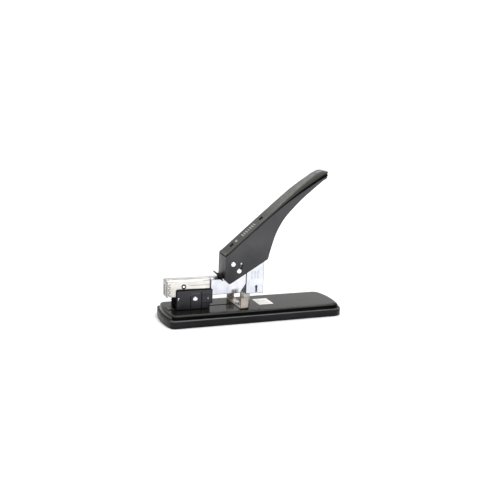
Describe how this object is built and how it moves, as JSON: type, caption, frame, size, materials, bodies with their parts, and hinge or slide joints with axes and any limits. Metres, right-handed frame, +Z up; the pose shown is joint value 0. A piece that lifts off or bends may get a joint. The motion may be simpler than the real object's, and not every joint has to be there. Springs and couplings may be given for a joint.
{
  "type": "desktop stapler",
  "caption": "Long-arm heavy-duty desktop stapler with a lever handle, sliding paper stop and gauge bracket on a flat base.",
  "frame": {"origin": "middle of the base, on the surface it stands on", "axes": "+X from the nose to the tail, +Y across, +Z up"},
  "size_m": [0.283, 0.086, 0.2228],
  "materials": {
    "skirt": "satin moulded",
    "plate": "gloss black enamel",
    "rubber": "moulded",
    "fastener": "zinc plated",
    "anvil": "blackened",
    "pedestal": "satin",
    "chassis": "bright nickel",
    "label": "printed film",
    "stop": "satin moulded",
    "gauge": "nickel plated",
    "head": "bright nickel",
    "frame": "bright nickel",
    "magazine": "bright zinc",
    "staple": "galvanised wire",
    "spring": "spring wire",
    "pin": "polished",
    "pusher": "moulded",
    "washer": "satin",
    "handle": "satin powder coat",
    "cover": "satin moulded",
    "latch": "satin moulded",
    "hammer": "hardened"
  },
  "bodies": {
    "base": {"base_skirt": "skirt", "base_plate": "plate", "rubber_feet": "rubber", "base_screws": "fastener", "anvil": "anvil", "anvil_rivets": "fastener", "pedestal": "pedestal", "pedestal_bolts": "fastener", "pedestal_nuts": "fastener", "chassis": "chassis", "rating_label": "label", "arm_pivot_pin": "pin", "arm_return_spring": "spring"},
    "front_stop": {"stop_block": "stop", "stop_rivets": "pin", "stop_key": "pusher", "stop_screw": "fastener"},
    "gauge": {"gauge_bracket": "gauge", "gauge_screw": "fastener", "gauge_nut": "fastener"},
    "arm": {"arm_frame": "frame", "head_cover": "head", "nose_plate": "head", "magazine_channel": "magazine", "staple_rail": "magazine", "staple_strip": "staple", "pusher_rod": "spring", "pusher_spring": "spring", "head_washers": "washer", "head_rivets": "pin", "frame_rivets": "pin", "hammer_pin": "pin", "latch_pin": "pin", "pivot_sleeve": "fastener", "latch_spring": "spring"},
    "handle": {"handle_frame": "handle", "handle_cover": "cover", "cover_clips": "handle", "handle_pivot_pin": "pin", "drive_pin": "pin", "handle_spring": "spring"},
    "hammer": {"hammer": "hammer"},
    "driver": {"driver_blade": "hammer"},
    "pusher": {"pusher": "pusher"},
    "latch": {"release_latch": "latch"}
  },
  "joints": [
    {"name": "stop_slide", "type": "slide", "parent": "base", "child": "front_stop", "axis": [1, 0, 0], "range_m": [0, 0.02]},
    {"name": "gauge_slide", "type": "slide", "parent": "base", "child": "gauge", "axis": [-1, 0, 0], "range_m": [0, 0.014]},
    {"name": "arm_pivot", "type": "hinge", "parent": "base", "child": "arm", "pos_m": [0.004, 0, 0.086], "axis": [0, -1, 0], "range_deg": [0, 7.2], "stiffness_Nm_per_rad": 3, "springref_deg": -20.05},
    {"name": "handle_pivot", "type": "hinge", "parent": "arm", "child": "handle", "pos_m": [-0.0357, 0, 0.0837], "axis": [0, 1, 0], "range_deg": [0, 34.5], "stiffness_Nm_per_rad": 0.8, "springref_deg": -45.84},
    {"name": "hammer_pivot", "type": "hinge", "parent": "arm", "child": "hammer", "pos_m": [-0.016, 0, 0.06], "axis": [0, -1, 0], "range_deg": [0, 7]},
    {"name": "driver_slide", "type": "slide", "parent": "arm", "child": "driver", "axis": [0, 0, -1], "range_m": [0, 0.0136]},
    {"name": "pusher_slide", "type": "slide", "parent": "arm", "child": "pusher", "axis": [1, 0, 0], "range_m": [0, 0.045], "stiffness_N_per_m": 60, "springref_m": -0.05, "deforming": ["pusher_spring"]},
    {"name": "latch_pivot", "type": "hinge", "parent": "arm", "child": "latch", "pos_m": [-0.049, 0, 0.0603], "axis": [0, -1, 0], "range_deg": [0, 14], "stiffness_Nm_per_rad": 0.02, "springref_deg": -34.38}
  ],
  "couplings": [
    {"joint": "hammer_pivot", "follows": "handle_pivot", "ratio": 0.2},
    {"joint": "driver_slide", "follows": "handle_pivot", "m_per_rad": 0.0225}
  ]
}
